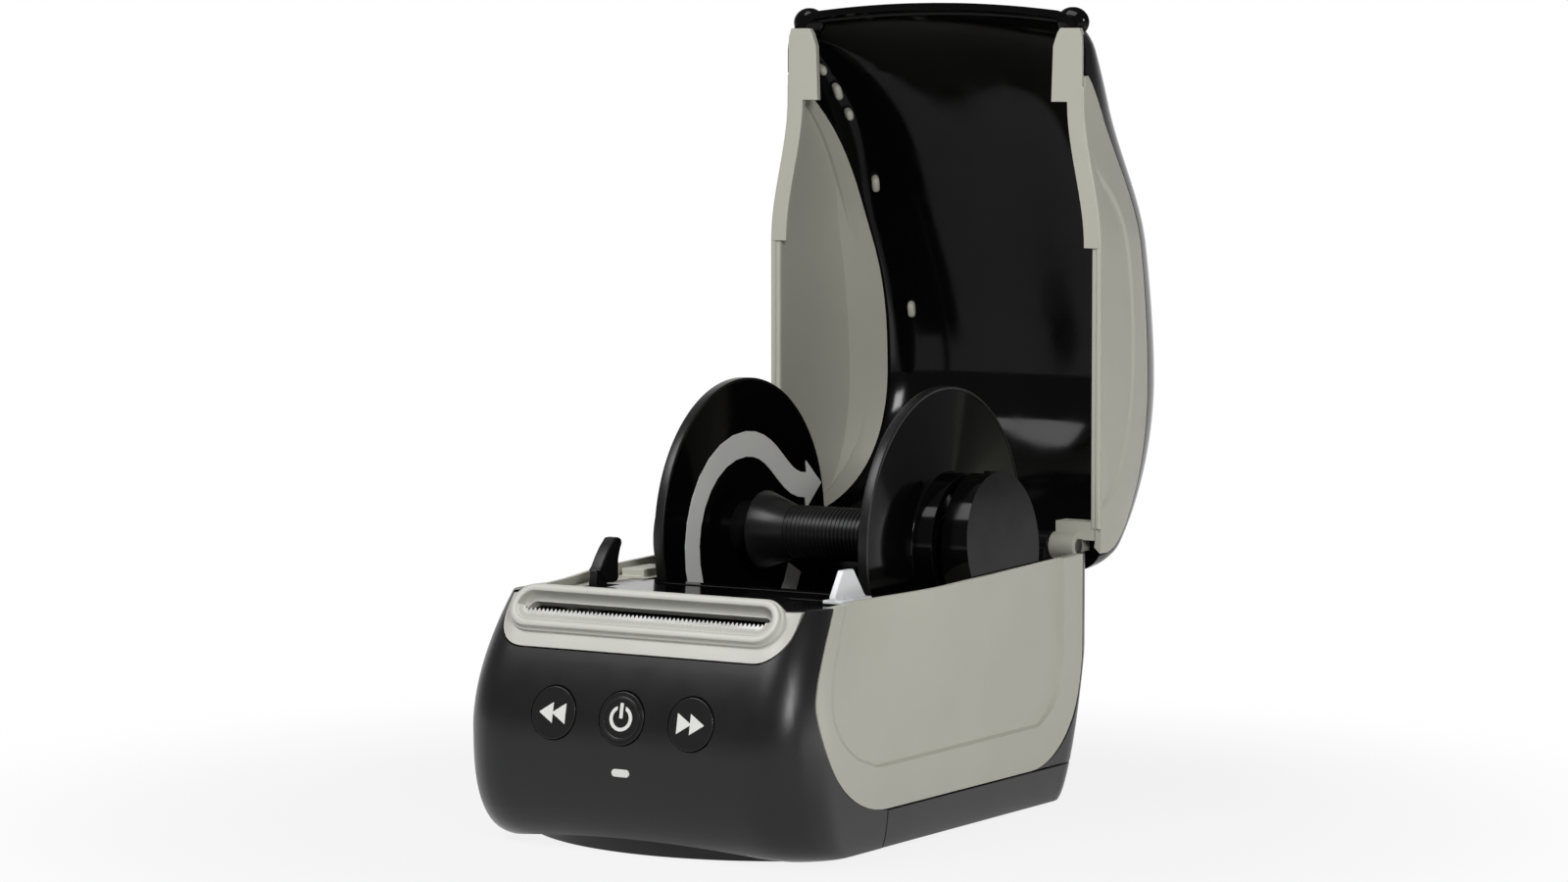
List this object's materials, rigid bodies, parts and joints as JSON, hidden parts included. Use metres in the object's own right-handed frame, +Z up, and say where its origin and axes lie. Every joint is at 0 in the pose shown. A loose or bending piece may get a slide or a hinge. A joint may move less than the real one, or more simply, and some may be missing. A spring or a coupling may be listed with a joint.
{
  "type": "desktop label printer",
  "caption": "Desktop label printer with a hinged hood open over a label spool, sloped front with round buttons, a tear slot in a raised bezel and a release lever.",
  "frame": {"origin": "centre of the footprint on the table", "axes": "+X to the right facing the front, +Y to the rear, +Z up; the front faces -Y"},
  "size_m": [0.127, 0.2563, 0.2579],
  "materials": {
    "charcoal": "satin, fine texture",
    "gloss_black": "glossy",
    "warm_grey": "satin",
    "pale_grey": "satin",
    "off_white": "printed, satin",
    "guide_white": "glossy",
    "steel": "brushed",
    "brass": "plain",
    "rubber": "matte",
    "board": "lacquered",
    "motor": "satin",
    "ceramic": "plain",
    "parts": "matte"
  },
  "bodies": {
    "body": {"plinth": "charcoal", "floor_plate": "charcoal", "base_skirt": "charcoal", "rear_panel": "charcoal", "front_shell": "charcoal", "hinge_lugs": "charcoal", "roll_well": "gloss_black", "feed_deck": "gloss_black", "left_cradle": "gloss_black", "right_cradle": "gloss_black", "power_socket": "gloss_black", "left_side_panel": "warm_grey", "right_side_panel": "warm_grey", "left_ledge": "warm_grey", "right_ledge": "warm_grey", "front_bezel": "pale_grey", "status_lamp": "guide_white", "tear_blade": "steel", "data_socket": "steel", "mechanism_plates": "steel", "cross_bar": "steel", "idler_pin": "steel", "head_pivot_rod": "steel", "lever_pin": "steel", "button_bracket": "steel", "case_screws": "steel", "head_springs": "steel", "platen_bushes": "brass", "rubber_feet": "rubber", "main_board": "board", "button_board": "board", "drive_motor": "motor", "board_parts": "parts", "button_switches": "parts"},
    "lid": {"lid_hood": "gloss_black", "lid_left_panel": "warm_grey", "lid_right_panel": "warm_grey", "lid_strips": "warm_grey", "lid_ears": "warm_grey", "hinge_pins": "steel"},
    "spool": {"spool_axle": "steel", "spool_spindle": "gloss_black", "left_flange": "gloss_black", "feed_arrow": "off_white"},
    "spool_flange": {"right_flange": "gloss_black"},
    "lever": {"release_lever": "charcoal"},
    "guide": {"label_guide": "guide_white"},
    "back_key": {"back_button": "charcoal", "back_icon": "off_white"},
    "power_key": {"power_button": "charcoal", "power_icon": "off_white"},
    "feed_key": {"feed_button": "charcoal", "feed_icon": "off_white"},
    "platen": {"platen_roller": "rubber", "platen_shaft": "steel", "platen_gear": "off_white"},
    "idler": {"idler_gear": "off_white"},
    "pinion": {"motor_pinion": "brass"},
    "head": {"head_bracket": "steel", "print_head": "ceramic"}
  },
  "joints": [
    {"name": "lid_hinge", "type": "hinge", "parent": "body", "child": "lid", "pos_m": [0, 0.093, 0.082], "axis": [1, 0, 0], "range_deg": [0, 91.54]},
    {"name": "back_press", "type": "slide", "parent": "body", "child": "back_key", "axis": [0, 1, 0], "range_m": [0, 0.001], "stiffness_N_per_m": 400},
    {"name": "power_press", "type": "slide", "parent": "body", "child": "power_key", "axis": [0, 1, 0], "range_m": [0, 0.001], "stiffness_N_per_m": 400},
    {"name": "feed_press", "type": "slide", "parent": "body", "child": "feed_key", "axis": [0, 1, 0], "range_m": [0, 0.001], "stiffness_N_per_m": 400},
    {"name": "spool_spin", "type": "hinge", "parent": "body", "child": "spool", "pos_m": [0, 0.037, 0.0877], "axis": [1, 0, 0], "continuous": true},
    {"name": "flange_slide", "type": "slide", "parent": "spool", "child": "spool_flange", "axis": [1, 0, 0], "range_m": [-0.03, 0]},
    {"name": "lever_swing", "type": "hinge", "parent": "body", "child": "lever", "pos_m": [-0.044, -0.038, 0.062], "axis": [1, 0, 0], "range_deg": [0, 22], "stiffness_Nm_per_rad": 0.05},
    {"name": "head_lift", "type": "hinge", "parent": "body", "child": "head", "pos_m": [0, -0.042, 0.066], "axis": [-1, 0, 0], "range_deg": [0, 4], "deforming": ["head_springs"]},
    {"name": "guide_slide", "type": "slide", "parent": "body", "child": "guide", "axis": [1, 0, 0], "range_m": [-0.02, 0]},
    {"name": "platen_spin", "type": "hinge", "parent": "body", "child": "platen", "pos_m": [0, -0.062, 0.06], "axis": [1, 0, 0], "continuous": true},
    {"name": "idler_spin", "type": "hinge", "parent": "body", "child": "idler", "pos_m": [0.0405, -0.0422, 0.0402], "axis": [1, 0, 0], "continuous": true},
    {"name": "pinion_spin", "type": "hinge", "parent": "body", "child": "pinion", "pos_m": [0.0405, -0.02221, 0.03447], "axis": [1, 0, 0], "continuous": true}
  ],
  "couplings": [
    {"joint": "head_lift", "follows": "lever_swing", "ratio": 0.18},
    {"joint": "idler_spin", "follows": "platen_spin", "ratio": -0.75},
    {"joint": "pinion_spin", "follows": "platen_spin", "ratio": 2.5}
  ]
}
